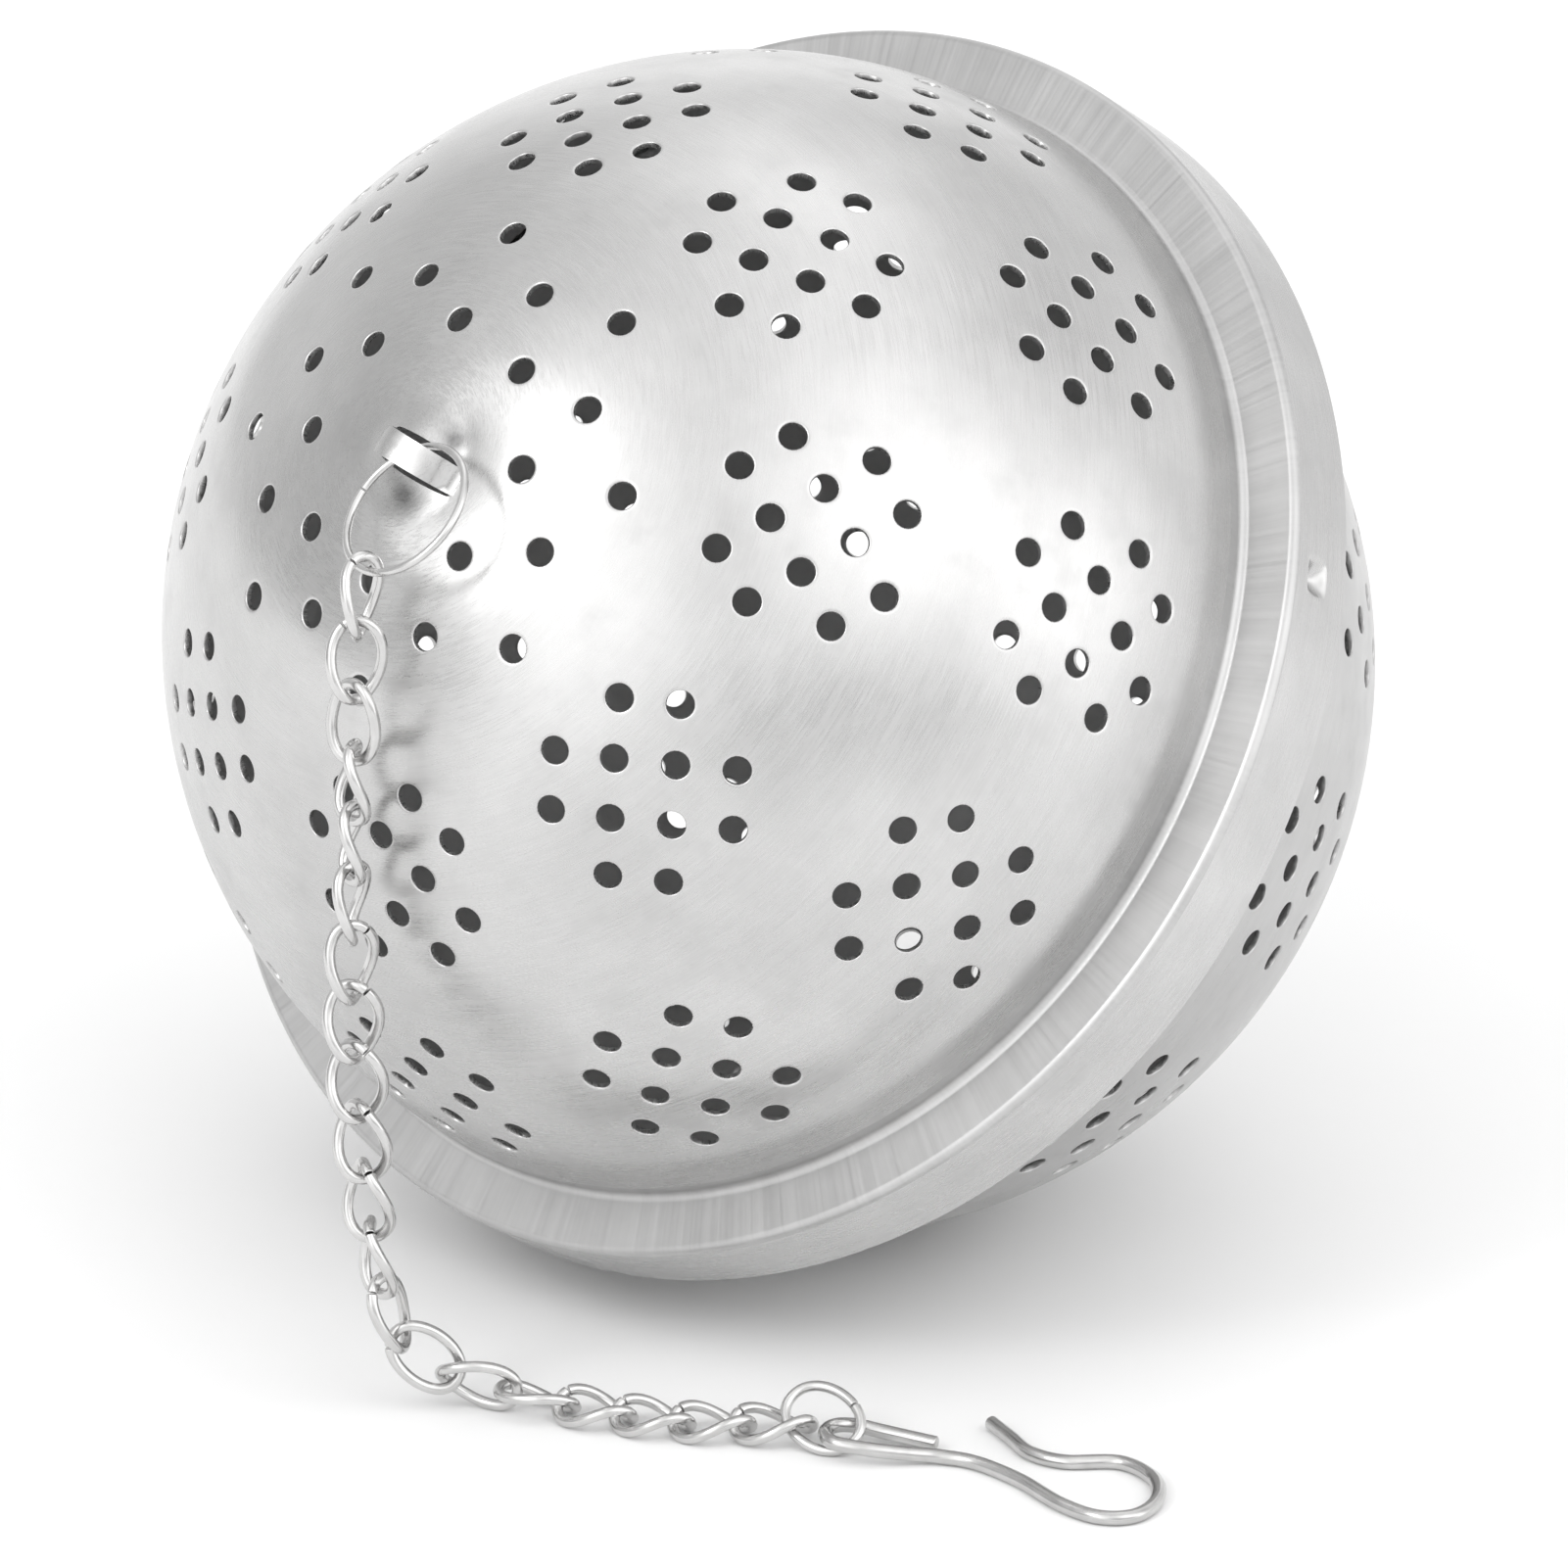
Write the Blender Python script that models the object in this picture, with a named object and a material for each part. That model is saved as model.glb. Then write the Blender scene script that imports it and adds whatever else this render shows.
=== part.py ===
"""Tea infuser: a pressed-sheet mesh ball in two halves, with a jump ring, a twisted-link chain and a wire hook.

The ball rests on its base dome with the lid pole leaning towards -Y. The origin is on the table,
under the middle of the object's bounding box. Lengths are in millimetres until they reach Blender.
"""

import math

import bmesh
import bpy
from mathutils import Matrix, Vector
from mathutils.geometry import delaunay_2d_cdt

MM = 0.001

# Where the ball sits.
BALL_X = -4.95
BALL_Y = -0.217
BALL_Z = 43.37
TILT = math.radians(55.984)

# Pressed sheet.
SHEET = 0.45
LID_RADIUS = 40.0
LID_FILLET = 0.6
RIM_RADIUS = 44.24
RIM_CORNER = 0.6
SKIRT_DEPTH = 6.44
BASE_RADIUS = 39.7
BASE_CENTRE = -6.56
LIP_TOP = -0.8
LIP_RADIUS = 43.3
NECK_FILLET = 0.5
NOTCH_RADIUS = 41.3
COLUMNS = 48

# Three dimples in the skirt pass through three notches in the lip.
LOCK_COUNT = 3
LOCK_START = 20.5
DIMPLE_Z = -2.98
DIMPLE_DEPTH = 1.2
DIMPLE_COLUMNS = (-2.3, -1.0, 0.0, 1.0, 2.3)
NOTCH_COLUMNS = (-4.7, -3.9, 3.9, 4.7)

# Holes.
HOLE_RADIUS = 0.95
HOLE_SIDES = 6
HOLE_PITCH = math.radians(5.88)
POLE_RINGS = ((13.3, 8, 5.0), (19.0, 8, 27.5), (23.8, 8, 5.0))
MIDDLE_CLUSTERS = (42.0, 8, 8.5)
OUTER_CLUSTERS = (71.2, 11, 9.0)
BASE_OUTER_PHASE = -2.9
EDGE_POLAR = 84.0

# Boss and the strip that holds the jump ring.
BOSS_CENTRE = (1.0, -0.7)
BOSS_RADIUS = 4.6
BOSS_HEIGHT = 0.95
STRIP_CENTRE = (2.0, -0.8)
STRIP_TURN = math.radians(-11.5)
STRIP_HALF = 3.3
STRIP_WIDTH = 1.86
STRIP_LIFT = 2.1
SLIT_WIDTH = 0.42

# Jump ring, in the lid's frame.
RING_CENTRE = (4.25, -4.5, 42.4)
RING_NORMAL = (-0.143, 0.19, 0.971)
RING_RADIUS = 4.82
RING_WIRE = 0.285

# Chain.
LINK_COUNT = 20
HANGING_LINKS = 13
LINK_LENGTH = 5.35
LINK_WIDTH = 3.5
LINK_WIRE = 0.385
HANGING_PITCH = 4.28
LYING_PITCH = 4.1
ROUTE = (
    (3.72, -41.12, 60.35),
    (4.1, -42.5, 52.0),
    (3.8, -42.6, 42.0),
    (3.5, -42.5, 30.0),
    (4.1, -42.2, 18.0),
    (4.6, -41.4, 9.5),
    (5.6, -39.6, 4.4),
    (8.6, -37.4, 2.1),
    (11.2, -35.7, 1.7),
    (14.6, -33.8, 1.12),
    (22.2, -30.6, 1.06),
    (28.9, -25.6, 1.25),
)
TURN_KNOTS = (
    (1, 12),
    (3, 96),
    (4, 158),
    (6, 188),
    (8, 248),
    (12, 323),
    (13, 355),
    (14, 420),
    (15, 490),
    (17, 585),
    (21, 585),
)
END_LENGTH = 5.6
END_WIDTH = 4.3
END_WIRE = 0.36
END_CENTRE = (29.96, -25.2, 1.85)
END_ALONG = (0.945, 0.026, -0.326)
END_SIDE = (0.159, 0.835, 0.527)
TOWARDS_FRONT = (0.0, -1.0, 0.0)

# Hook.
HOOK_WIRE = 0.5
HOOK_ROUTE = (
    (36.4, -21.0, 0.55),
    (33.1, -22.3, 0.8),
    (31.4, -23.4, 1.15),
    (30.6, -24.7, 1.35),
    (30.9, -26.0, 1.4),
    (32.2, -26.9, 1.4),
    (33.4, -26.6, 1.35),
    (34.9, -25.6, 1.15),
    (36.5, -24.0, 0.85),
    (38.0, -22.5, 0.6),
    (40.4, -21.5, 0.51),
    (44.4, -21.7, 0.51),
    (48.7, -22.7, 0.51),
    (51.9, -22.6, 0.51),
    (53.6, -20.9, 0.51),
    (53.2, -18.2, 0.51),
    (50.9, -15.6, 0.51),
    (47.4, -15.0, 0.51),
    (44.6, -17.4, 0.51),
    (42.0, -17.9, 0.51),
    (39.6, -17.0, 0.51),
    (36.7, -15.9, 0.51),
)


def clear_scene():
    for obj in list(bpy.data.objects):
        bpy.data.objects.remove(obj, do_unlink=True)


def steel(name, grey, roughness):
    material = bpy.data.materials.new(name)
    material.use_nodes = True
    shader = material.node_tree.nodes["Principled BSDF"]
    shader.inputs["Base Color"].default_value = (grey, grey, grey, 1.0)
    shader.inputs["Roughness"].default_value = roughness
    shader.inputs["Metallic"].default_value = 1.0
    return material


def ball_frame():
    return Matrix.Translation(Vector((BALL_X, BALL_Y, BALL_Z)) * MM) @ Matrix.Rotation(TILT, 4, "X")


def shifted(point):
    """A table point measured from under the ball, as a world point in millimetres."""
    return Vector(point) + Vector((BALL_X, BALL_Y, 0.0))


def direction(polar, azimuth):
    return Vector(
        (
            math.sin(polar) * math.cos(azimuth),
            math.sin(polar) * math.sin(azimuth),
            math.cos(polar),
        )
    )


def unrolled(ray):
    """The unit direction as a point of the flat azimuthal map."""
    polar = math.acos(max(-1.0, min(1.0, ray.z)))
    azimuth = math.atan2(ray.y, ray.x)
    return Vector((polar * math.cos(azimuth), polar * math.sin(azimuth)))


def single_holes(rings):
    for polar, count, phase in rings:
        for i in range(count):
            yield direction(math.radians(polar), math.radians(phase + 360.0 * i / count))


def cluster_holes(polar, count, phase):
    """Each cluster is a square grid of sixteen without its corners, standing on one corner."""
    steps = (-1.5, -0.5, 0.5, 1.5)
    for i in range(count):
        azimuth = math.radians(phase + 360.0 * i / count)
        centre = direction(math.radians(polar), azimuth)
        across = Vector((-math.sin(azimuth), math.cos(azimuth), 0.0))
        along = centre.cross(across)
        for a in steps:
            for b in steps:
                if abs(a) + abs(b) == 3.0:
                    continue
                x = HOLE_PITCH * (a - b) / math.sqrt(2.0)
                y = HOLE_PITCH * (a + b) / math.sqrt(2.0)
                yield (centre + across * x + along * y).normalized()


def hole_outline(ray, radius):
    """Corners of one hole on the flat map. They stand a little outside the true circle to keep its area."""
    side = ray.cross(Vector((0.0, 0.0, 1.0))).normalized()
    up = side.cross(ray)
    reach = 1.05 * HOLE_RADIUS / radius
    corners = []
    for i in range(HOLE_SIDES):
        turn = 2.0 * math.pi * i / HOLE_SIDES
        offset = side * math.cos(turn) + up * math.sin(turn)
        corners.append(unrolled(ray * math.cos(reach) + offset * math.sin(reach)))
    return corners


def strip_axes():
    along = Vector((math.cos(STRIP_TURN), math.sin(STRIP_TURN)))
    return Vector(STRIP_CENTRE), along, Vector((-along.y, along.x))


def boss_lift(x, y):
    away = math.hypot(x - BOSS_CENTRE[0], y - BOSS_CENTRE[1]) / BOSS_RADIUS
    rise = max(0.0, 1.0 - away)
    return BOSS_HEIGHT * rise * rise * (3.0 - 2.0 * rise)


def strip_lift(u):
    return STRIP_LIFT * (1.0 - min(1.0, abs(u) / STRIP_HALF) ** 4)


def slit_outlines():
    """Both slits beside the strip, each as (point, lift) pairs in millimetres round the pole."""
    centre, along, across = strip_axes()
    steps = 6
    for side in (1.0, -1.0):
        outline = []
        for i in range(steps + 1):
            u = STRIP_HALF * (2.0 * i / steps - 1.0)
            spot = centre + along * u + across * (side * STRIP_WIDTH / 2.0)
            outline.append((spot, boss_lift(*spot) + strip_lift(u)))
        for i in range(steps - 1, 0, -1):
            u = STRIP_HALF * (2.0 * i / steps - 1.0)
            gap = SLIT_WIDTH * (1.0 - 0.6 * (u / STRIP_HALF) ** 2)
            spot = centre + along * u + across * (side * (STRIP_WIDTH / 2.0 + gap))
            outline.append((spot, boss_lift(*spot)))
        yield outline


def boss_points():
    """Points that carry the boss's shape, clear of the strip and its slits."""
    centre, along, across = strip_axes()
    for ring, count in ((1.7, 6), (3.2, 12), (4.6, 14), (6.4, 14)):
        for i in range(count):
            turn = 2.0 * math.pi * (i + 0.5) / count
            spot = Vector(BOSS_CENTRE) + Vector((math.cos(turn), math.sin(turn))) * ring
            u = (spot - centre).dot(along)
            v = (spot - centre).dot(across)
            if abs(u) < STRIP_HALF + 0.5 and abs(v) < STRIP_WIDTH / 2.0 + SLIT_WIDTH + 0.45:
                continue
            yield spot, boss_lift(*spot)


def perforated_cap(shell, radius, centre_z, facing, holes, edge_turns, with_strip):
    """Adds one pierced dome and returns its edge, in the order of edge_turns. facing is 1 for +Z, -1 for -Z."""
    spots, lifts, loops = [], [], []

    def add_loop(points):
        first = len(spots)
        for spot, lift in points:
            spots.append(spot)
            lifts.append(lift)
        loops.append(list(range(first, len(spots))))

    edge_polar = math.radians(EDGE_POLAR)
    for turn in edge_turns:
        spots.append(Vector((math.cos(turn), math.sin(turn))) * edge_polar)
        lifts.append(0.0)
    for ray in holes:
        add_loop([(spot, 0.0) for spot in hole_outline(ray, radius)])
    if with_strip:
        for outline in slit_outlines():
            add_loop([(spot / radius, lift) for spot, lift in outline])
        for spot, lift in boss_points():
            spots.append(spot / radius)
            lifts.append(lift)
    else:
        spots.append(Vector((0.0, 0.0)))
        lifts.append(0.0)
        for i in range(6):
            turn = math.radians(60.0 * i)
            spots.append(Vector((math.cos(turn), math.sin(turn))) * math.radians(6.5))
            lifts.append(0.0)
    for polar, count in ((28.5, 10), (33.0, 16), (51.0, 22), (56.0, 22), (61.0, 22), (71.0, 22)):
        for i in range(count):
            ray = direction(math.radians(polar), 2.0 * math.pi * (i + 0.5) / count)
            if all(ray.dot(hole) < math.cos(math.radians(4.2)) for hole in holes):
                spots.append(unrolled(ray))
                lifts.append(0.0)
    edges = []
    for loop in loops:
        edges += list(zip(loop, loop[1:] + loop[:1]))
    owner = {}
    for n, loop in enumerate(loops):
        for i in loop:
            owner[i] = n
    flat, _, faces, origins, _, _ = delaunay_2d_cdt(spots, edges, [], 0, 1e-7)
    made = []
    for spot, origin in zip(flat, origins):
        lift = lifts[origin[0]]
        ray = direction(spot.length, math.atan2(spot.y, spot.x))
        ray.z *= facing
        made.append(shell.verts.new((ray * (radius + lift) + Vector((0.0, 0.0, centre_z))) * MM))
    for face in faces:
        owners = {owner.get(origins[i][0], -1 - i) for i in face}
        if len(owners) == 1:
            continue
        corners = [made[i] for i in face]
        shell.faces.new(corners if facing > 0 else corners[::-1])
    by_origin = {origin[0]: vert for origin, vert in zip(origins, made)}
    return [by_origin[i] for i in range(len(edge_turns))]


def add_rows(shell, edge, rows, facing):
    """Carries the edge on through rows of points, each row a list as long as the edge."""
    count = len(edge)
    for row in rows:
        new = [shell.verts.new(point * MM) for point in row]
        for i in range(count):
            j = (i + 1) % count
            quad = [edge[i], new[i], new[j], edge[j]]
            shell.faces.new(quad if facing > 0 else quad[::-1])
        edge = new
    return edge


def edge_turns(extra):
    """Even columns round the rim, with closer ones at the three locks."""
    marks = [LOCK_START + 360.0 * i / LOCK_COUNT + step for i in range(LOCK_COUNT) for step in extra]
    turns = list(marks)
    for i in range(COLUMNS):
        turn = 360.0 * i / COLUMNS
        if all(abs((turn - mark + 180.0) % 360.0 - 180.0) > 2.4 for mark in marks):
            turns.append(turn)
    return [math.radians(turn) for turn in sorted(turn % 360.0 for turn in turns)]


def lock_offset(turn):
    """Degrees from the nearest lock."""
    step = 360.0 / LOCK_COUNT
    return (math.degrees(turn) - LOCK_START + step / 2.0) % step - step / 2.0


def ring_row(turns, radius, z):
    return [Vector((radius * math.cos(t), radius * math.sin(t), z)) for t in turns]


def skirt_row(turns, z):
    """A skirt row, pushed in at the dimples."""
    row = []
    for turn in turns:
        across = abs(lock_offset(turn)) / 2.3
        down = abs(z - DIMPLE_Z) / 1.4
        push = DIMPLE_DEPTH * max(0.0, 1.0 - across**1.6) * max(0.0, 1.0 - down**1.6)
        radius = RIM_RADIUS - push
        row.append(Vector((radius * math.cos(turn), radius * math.sin(turn), z)))
    return row


def lip_row(turns):
    """The lip's edge, drawn in at the notches."""
    row = []
    for turn in turns:
        radius = NOTCH_RADIUS if abs(lock_offset(turn)) < 4.3 else LIP_RADIUS
        row.append(Vector((radius * math.cos(turn), radius * math.sin(turn), LIP_TOP - SHEET)))
    return row


def arc_rows(turns, centre_r, centre_z, radius, angles):
    rows = []
    for angle in angles:
        a = math.radians(angle)
        rows.append(ring_row(turns, centre_r + radius * math.cos(a), centre_z + radius * math.sin(a)))
    return rows


def sheet_object(name, shell, material):
    bmesh.ops.recalc_face_normals(shell, faces=shell.faces)
    mesh = bpy.data.meshes.new(name)
    shell.to_mesh(mesh)
    shell.free()
    for polygon in mesh.polygons:
        polygon.use_smooth = True
    mesh.materials.append(material)
    obj = bpy.data.objects.new(name, mesh)
    bpy.context.scene.collection.objects.link(obj)
    obj.matrix_world = ball_frame()
    solid = obj.modifiers.new("Sheet", "SOLIDIFY")
    solid.thickness = SHEET * MM
    solid.offset = -1.0
    solid.use_even_offset = True
    solid.use_rim = True
    return obj


def lid_half():
    shell = bmesh.new()
    turns = edge_turns(DIMPLE_COLUMNS)
    holes = list(single_holes(POLE_RINGS))
    holes += list(cluster_holes(*MIDDLE_CLUSTERS))
    holes += list(cluster_holes(*OUTER_CLUSTERS))
    edge = perforated_cap(shell, LID_RADIUS, 0.0, 1, holes, turns, True)
    upper = math.radians(88.0)
    rows = [ring_row(turns, LID_RADIUS * math.sin(upper), LID_RADIUS * math.cos(upper))]
    foot = LID_RADIUS + LID_FILLET
    rows += arc_rows(turns, foot, LID_FILLET, LID_FILLET, (180.0, 225.0, 270.0))
    brim = RIM_RADIUS - RIM_CORNER
    rows += arc_rows(turns, brim, -RIM_CORNER, RIM_CORNER, (90.0, 45.0, 0.0))
    rows += [skirt_row(turns, z) for z in (DIMPLE_Z + 1.4, DIMPLE_Z, DIMPLE_Z - 1.4, -SKIRT_DEPTH)]
    add_rows(shell, edge, rows, 1)
    return sheet_object("lid_half", shell, steel("Lid steel", 0.62, 0.28))


def base_half():
    shell = bmesh.new()
    turns = edge_turns(NOTCH_COLUMNS)
    holes = list(single_holes(POLE_RINGS))
    holes += list(cluster_holes(*MIDDLE_CLUSTERS))
    polar, count, _ = OUTER_CLUSTERS
    holes += list(cluster_holes(polar, count, BASE_OUTER_PHASE))
    edge = perforated_cap(shell, BASE_RADIUS, BASE_CENTRE, -1, holes, turns, False)
    under = LIP_TOP - SHEET
    rows = [ring_row(turns, BASE_RADIUS, BASE_CENTRE)]
    rows += arc_rows(
        turns, BASE_RADIUS + NECK_FILLET, under - NECK_FILLET, NECK_FILLET, (180.0, 135.0, 90.0)
    )
    rows.append(lip_row(turns))
    add_rows(shell, edge, rows, -1)
    return sheet_object("base_half", shell, steel("Base steel", 0.6, 0.3))


def smooth_route(points, parts):
    """Catmull-Rom points through the route."""
    points = [Vector(p) for p in points]
    points = [2.0 * points[0] - points[1]] + points + [2.0 * points[-1] - points[-2]]
    out = []
    for a, b, c, d in zip(points, points[1:], points[2:], points[3:]):
        for i in range(parts):
            t = i / parts
            out.append(
                0.5
                * (
                    2.0 * b
                    + (c - a) * t
                    + (2.0 * a - 5.0 * b + 4.0 * c - d) * t**2
                    + (3.0 * b - a - 3.0 * c + d) * t**3
                )
            )
    out.append(points[-2])
    return out


def wire_object(name, points, radius, closed, frame, material, sides):
    """A round wire through points in millimetres of the frame."""
    curve = bpy.data.curves.new(name, "CURVE")
    curve.dimensions = "3D"
    curve.bevel_depth = radius * MM
    curve.bevel_resolution = sides
    curve.use_fill_caps = True
    curve.twist_mode = "MINIMUM"
    spline = curve.splines.new("POLY")
    spline.points.add(len(points) - 1)
    for spot, point in zip(spline.points, points):
        spot.co = (*(Vector(point) * MM), 1.0)
    spline.use_cyclic_u = closed
    spline.use_smooth = True
    curve.materials.append(material)
    obj = bpy.data.objects.new(name, curve)
    bpy.context.scene.collection.objects.link(obj)
    obj.matrix_world = frame
    return obj


def frame_of(origin, along, side):
    """A frame with local X along and local Y on the side, squared up. The origin is in millimetres."""
    x = Vector(along).normalized()
    y = Vector(side)
    y = (y - x * y.dot(x)).normalized()
    z = x.cross(y)
    turn = Matrix((x, y, z)).transposed().to_4x4()
    return Matrix.Translation(Vector(origin) * MM) @ turn


def jump_ring():
    """The ring's origin is on its wire under the strip, with local X along the wire there."""
    lid = ball_frame()
    centre = Vector(RING_CENTRE)
    normal = Vector(RING_NORMAL).normalized()
    inward = Vector(STRIP_CENTRE).to_3d() + Vector((0.0, 0.0, centre.z)) - centre
    inward = (inward - normal * inward.dot(normal)).normalized()
    pivot = centre + inward * RING_RADIUS
    frame = lid @ frame_of(pivot, normal.cross(inward), inward)
    count = 20
    points = []
    for i in range(count):
        turn = 2.0 * math.pi * i / count
        points.append((RING_RADIUS * math.sin(turn), RING_RADIUS * (math.cos(turn) - 1.0), 0.0))
    return wire_object("jump_ring", points, RING_WIRE, True, frame, steel("Ring steel", 0.66, 0.2), 1)


def link_outline(length, width, start_turn, twist, shift, count):
    """A twisted oval. Its start apex is at x = -shift, and its wire there lies at start_turn from local Y."""
    points = []
    for i in range(count):
        s = 2.0 * math.pi * (i + 0.5) / count
        part = (1.0 - math.cos(s)) / 2.0
        turn = math.radians(start_turn - twist * part)
        half = 0.5 * width * math.copysign(abs(math.sin(s)) ** 0.9, math.sin(s))
        points.append((length * part - shift, half * math.cos(turn), half * math.sin(turn)))
    return points


def turn_at(number):
    """The start turn of a link in degrees, straight between the knots."""
    for (n0, t0), (n1, t1) in zip(TURN_KNOTS, TURN_KNOTS[1:]):
        if number <= n1:
            return t0 + (t1 - t0) * (number - n0) / (n1 - n0)
    return TURN_KNOTS[-1][1]


def junctions():
    """Where each link meets the next, stepped along the route."""
    path = smooth_route(ROUTE, 40)
    spots = [path[0]]
    at = 0
    for n in range(LINK_COUNT):
        pitch = HANGING_PITCH if n < HANGING_LINKS else LYING_PITCH
        while at < len(path) - 1 and (path[at] - spots[-1]).length < pitch:
            at += 1
        spots.append(spots[-1] + (path[at] - spots[-1]).normalized() * pitch)
    return spots


def chain_links():
    spots = junctions()
    material = steel("Chain steel", 0.66, 0.22)
    for n in range(1, LINK_COUNT + 1):
        a, b = spots[n - 1], spots[n]
        along = (b - a).normalized()
        shift = (LINK_LENGTH - (b - a).length) / 2.0
        frame = frame_of(shifted(a), along, TOWARDS_FRONT)
        twist = turn_at(n) - turn_at(n + 1) + 90.0
        points = link_outline(LINK_LENGTH, LINK_WIDTH, turn_at(n), twist, shift, 14)
        wire_object(f"chain_link_{n:02d}", points, LINK_WIRE, True, frame, material, 1)


def end_link():
    """Its origin is where the last small link holds it."""
    spots = junctions()
    frame = frame_of(shifted(spots[-1]), spots[-1] - spots[-2], TOWARDS_FRONT)
    own = frame_of(shifted(END_CENTRE), END_ALONG, END_SIDE)
    to_frame = frame.inverted() @ own
    outline = link_outline(END_LENGTH, END_WIDTH, 0.0, 0.0, END_LENGTH / 2.0, 16)
    points = [to_frame @ (Vector(p) * MM) / MM for p in outline]
    wire_object("end_link", points, END_WIRE, True, frame, steel("End link steel", 0.66, 0.22), 1)


def hook():
    """Its origin is inside the eye, where the end link bears on it."""
    along = Vector(END_ALONG).normalized()
    pivot = Vector(END_CENTRE) + along * (END_LENGTH / 2.0 - 0.4)
    frame = frame_of(shifted(pivot), along, -Vector(END_SIDE))
    to_frame = frame.inverted()
    points = [to_frame @ (shifted(p) * MM) / MM for p in smooth_route(HOOK_ROUTE, 2)]
    wire_object("hook", points, HOOK_WIRE, False, frame, steel("Hook steel", 0.64, 0.22), 1)


clear_scene()
base_half()
lid_half()
jump_ring()
chain_links()
end_link()
hook()
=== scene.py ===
"""Tea infuser: the finished look of the pierced ball, ring, chain and hook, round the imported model.

The ball's local frame has its origin in the middle of the lid's dome and +Z through the lid's pole.
Shapes are worked out in millimetres and become metres in their meshes.
"""

import math

import bpy
import numpy as np
from mathutils import Matrix, Vector
from mathutils.geometry import delaunay_2d_cdt


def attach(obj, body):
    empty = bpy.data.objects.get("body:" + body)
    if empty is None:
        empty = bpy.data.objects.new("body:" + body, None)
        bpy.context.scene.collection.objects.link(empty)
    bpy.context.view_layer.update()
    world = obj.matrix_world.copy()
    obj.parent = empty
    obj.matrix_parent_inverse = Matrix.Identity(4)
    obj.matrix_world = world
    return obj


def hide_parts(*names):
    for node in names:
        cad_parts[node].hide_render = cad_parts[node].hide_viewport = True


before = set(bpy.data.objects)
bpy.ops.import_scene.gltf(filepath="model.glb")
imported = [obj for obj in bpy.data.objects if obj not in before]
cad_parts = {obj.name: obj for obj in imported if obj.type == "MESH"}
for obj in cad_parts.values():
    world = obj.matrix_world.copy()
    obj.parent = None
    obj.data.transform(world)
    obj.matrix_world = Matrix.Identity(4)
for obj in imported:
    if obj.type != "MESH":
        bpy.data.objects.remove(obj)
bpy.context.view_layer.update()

MM = 0.001

# Where the ball sits.
BALL_X = -4.95
BALL_Y = -0.217
BALL_Z = 43.37
TILT = math.radians(55.984)

# Pressed sheet.
SHEET = 0.45
LID_RADIUS = 40.0
LID_FILLET = 0.6
RIM_RADIUS = 44.24
RIM_CORNER = 0.6
SKIRT_DEPTH = 6.44
BASE_RADIUS = 39.7
BASE_CENTRE = -6.56
LIP_TOP = -0.8
LIP_RADIUS = 43.3
NECK_FILLET = 0.5
NOTCH_RADIUS = 41.3
EDGE_POLAR = 84.0
CUT_EDGE = 0.06

# Mesh density over the sheet: degrees between the rim's columns, and millimetres between points.
COLUMN_STEP = 1.5
GRID_STEP = 1.45
FINE_STEP = 0.42
FINE_REACH = 9.6

# Three dimples in the skirt and three notches in the lip.
LOCK_COUNT = 3
LOCK_START = 20.5
DIMPLE_Z = -2.98
DIMPLE_DEPTH = 1.0
DIMPLE_SPREAD = 1.7
DIMPLE_RISE = 1.1
DIMPLE_BAND = 1.3
DIMPLE_STEP = 0.13
NOTCH_HALF = 4.3
NOTCH_RAMP = 0.5

# Holes, and how the sheet rolls over into one: (outside the hole's edge, depth, tilt in degrees).
HOLE_RADIUS = 0.95
HOLE_SIDES = 22
HOLE_PITCH = math.radians(5.88)
HOLE_COLLAR = 0.26
HOLE_PROFILE = (
    (0.10, 0.008, 8.0),
    (0.04, 0.03, 35.0),
    (0.0, 0.09, 80.0),
    (0.0, 0.39, 92.0),
    (0.03, 0.47, 150.0),
)
POLE_RINGS = ((13.3, 8, 5.0), (19.0, 8, 27.5), (23.8, 8, 5.0))
MIDDLE_CLUSTERS = (42.0, 8, 8.5)
OUTER_CLUSTERS = (71.2, 11, 9.0)
BASE_OUTER_PHASE = -2.9

# Boss and the strip that holds the jump ring.
BOSS_CENTRE = (1.0, -0.7)
BOSS_RADIUS = 4.6
BOSS_HEIGHT = 0.95
STRIP_CENTRE = (2.0, -0.8)
STRIP_TURN = math.radians(-11.5)
STRIP_HALF = 3.3
STRIP_WIDTH = 1.86
STRIP_LIFT = 2.1
SLIT_WIDTH = 0.42
SLIT_STEPS = 22

# Painted shade beside the slits, standing in for the shaded far slopes of the boss: (along the strip,
# across it, reach).
SLIT_SHADE_SPOTS = ((1.5, 2.3, 1.7), (0.2, -2.5, 1.9))

# Jump ring, in the ball's frame.
RING_CENTRE = (4.25, -4.5, 42.4)
RING_NORMAL = (-0.143, 0.19, 0.971)
RING_RADIUS = 4.82
RING_WIRE = 0.285
RING_CUT = math.radians(52.0)
RING_GAP = math.radians(0.7)
RING_POINTS = 96

# Chain. A cut and its gap are in radians round the oval.
LINK_COUNT = 20
HANGING_LINKS = 13
LINK_LENGTH = 5.35
LINK_WIDTH = 3.5
LINK_WIRE = 0.385
LINK_CUT = 0.55
LINK_GAP = 0.022
LINK_POINTS = 52
HANGING_PITCH = 4.28
LYING_PITCH = 4.1
ROUTE = (
    (3.72, -41.12, 60.35),
    (4.1, -42.5, 52.0),
    (3.8, -42.6, 42.0),
    (3.5, -42.5, 30.0),
    (4.1, -42.2, 18.0),
    (4.6, -41.4, 9.5),
    (5.6, -39.6, 4.4),
    (8.6, -37.4, 2.1),
    (11.2, -35.7, 1.7),
    (14.6, -33.8, 1.12),
    (22.2, -30.6, 1.06),
    (28.9, -25.6, 1.25),
)
TURN_KNOTS = (
    (1, 12),
    (3, 96),
    (4, 158),
    (6, 188),
    (8, 248),
    (12, 323),
    (13, 355),
    (14, 420),
    (15, 490),
    (17, 585),
    (21, 585),
)
END_LENGTH = 5.6
END_WIDTH = 4.3
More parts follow.
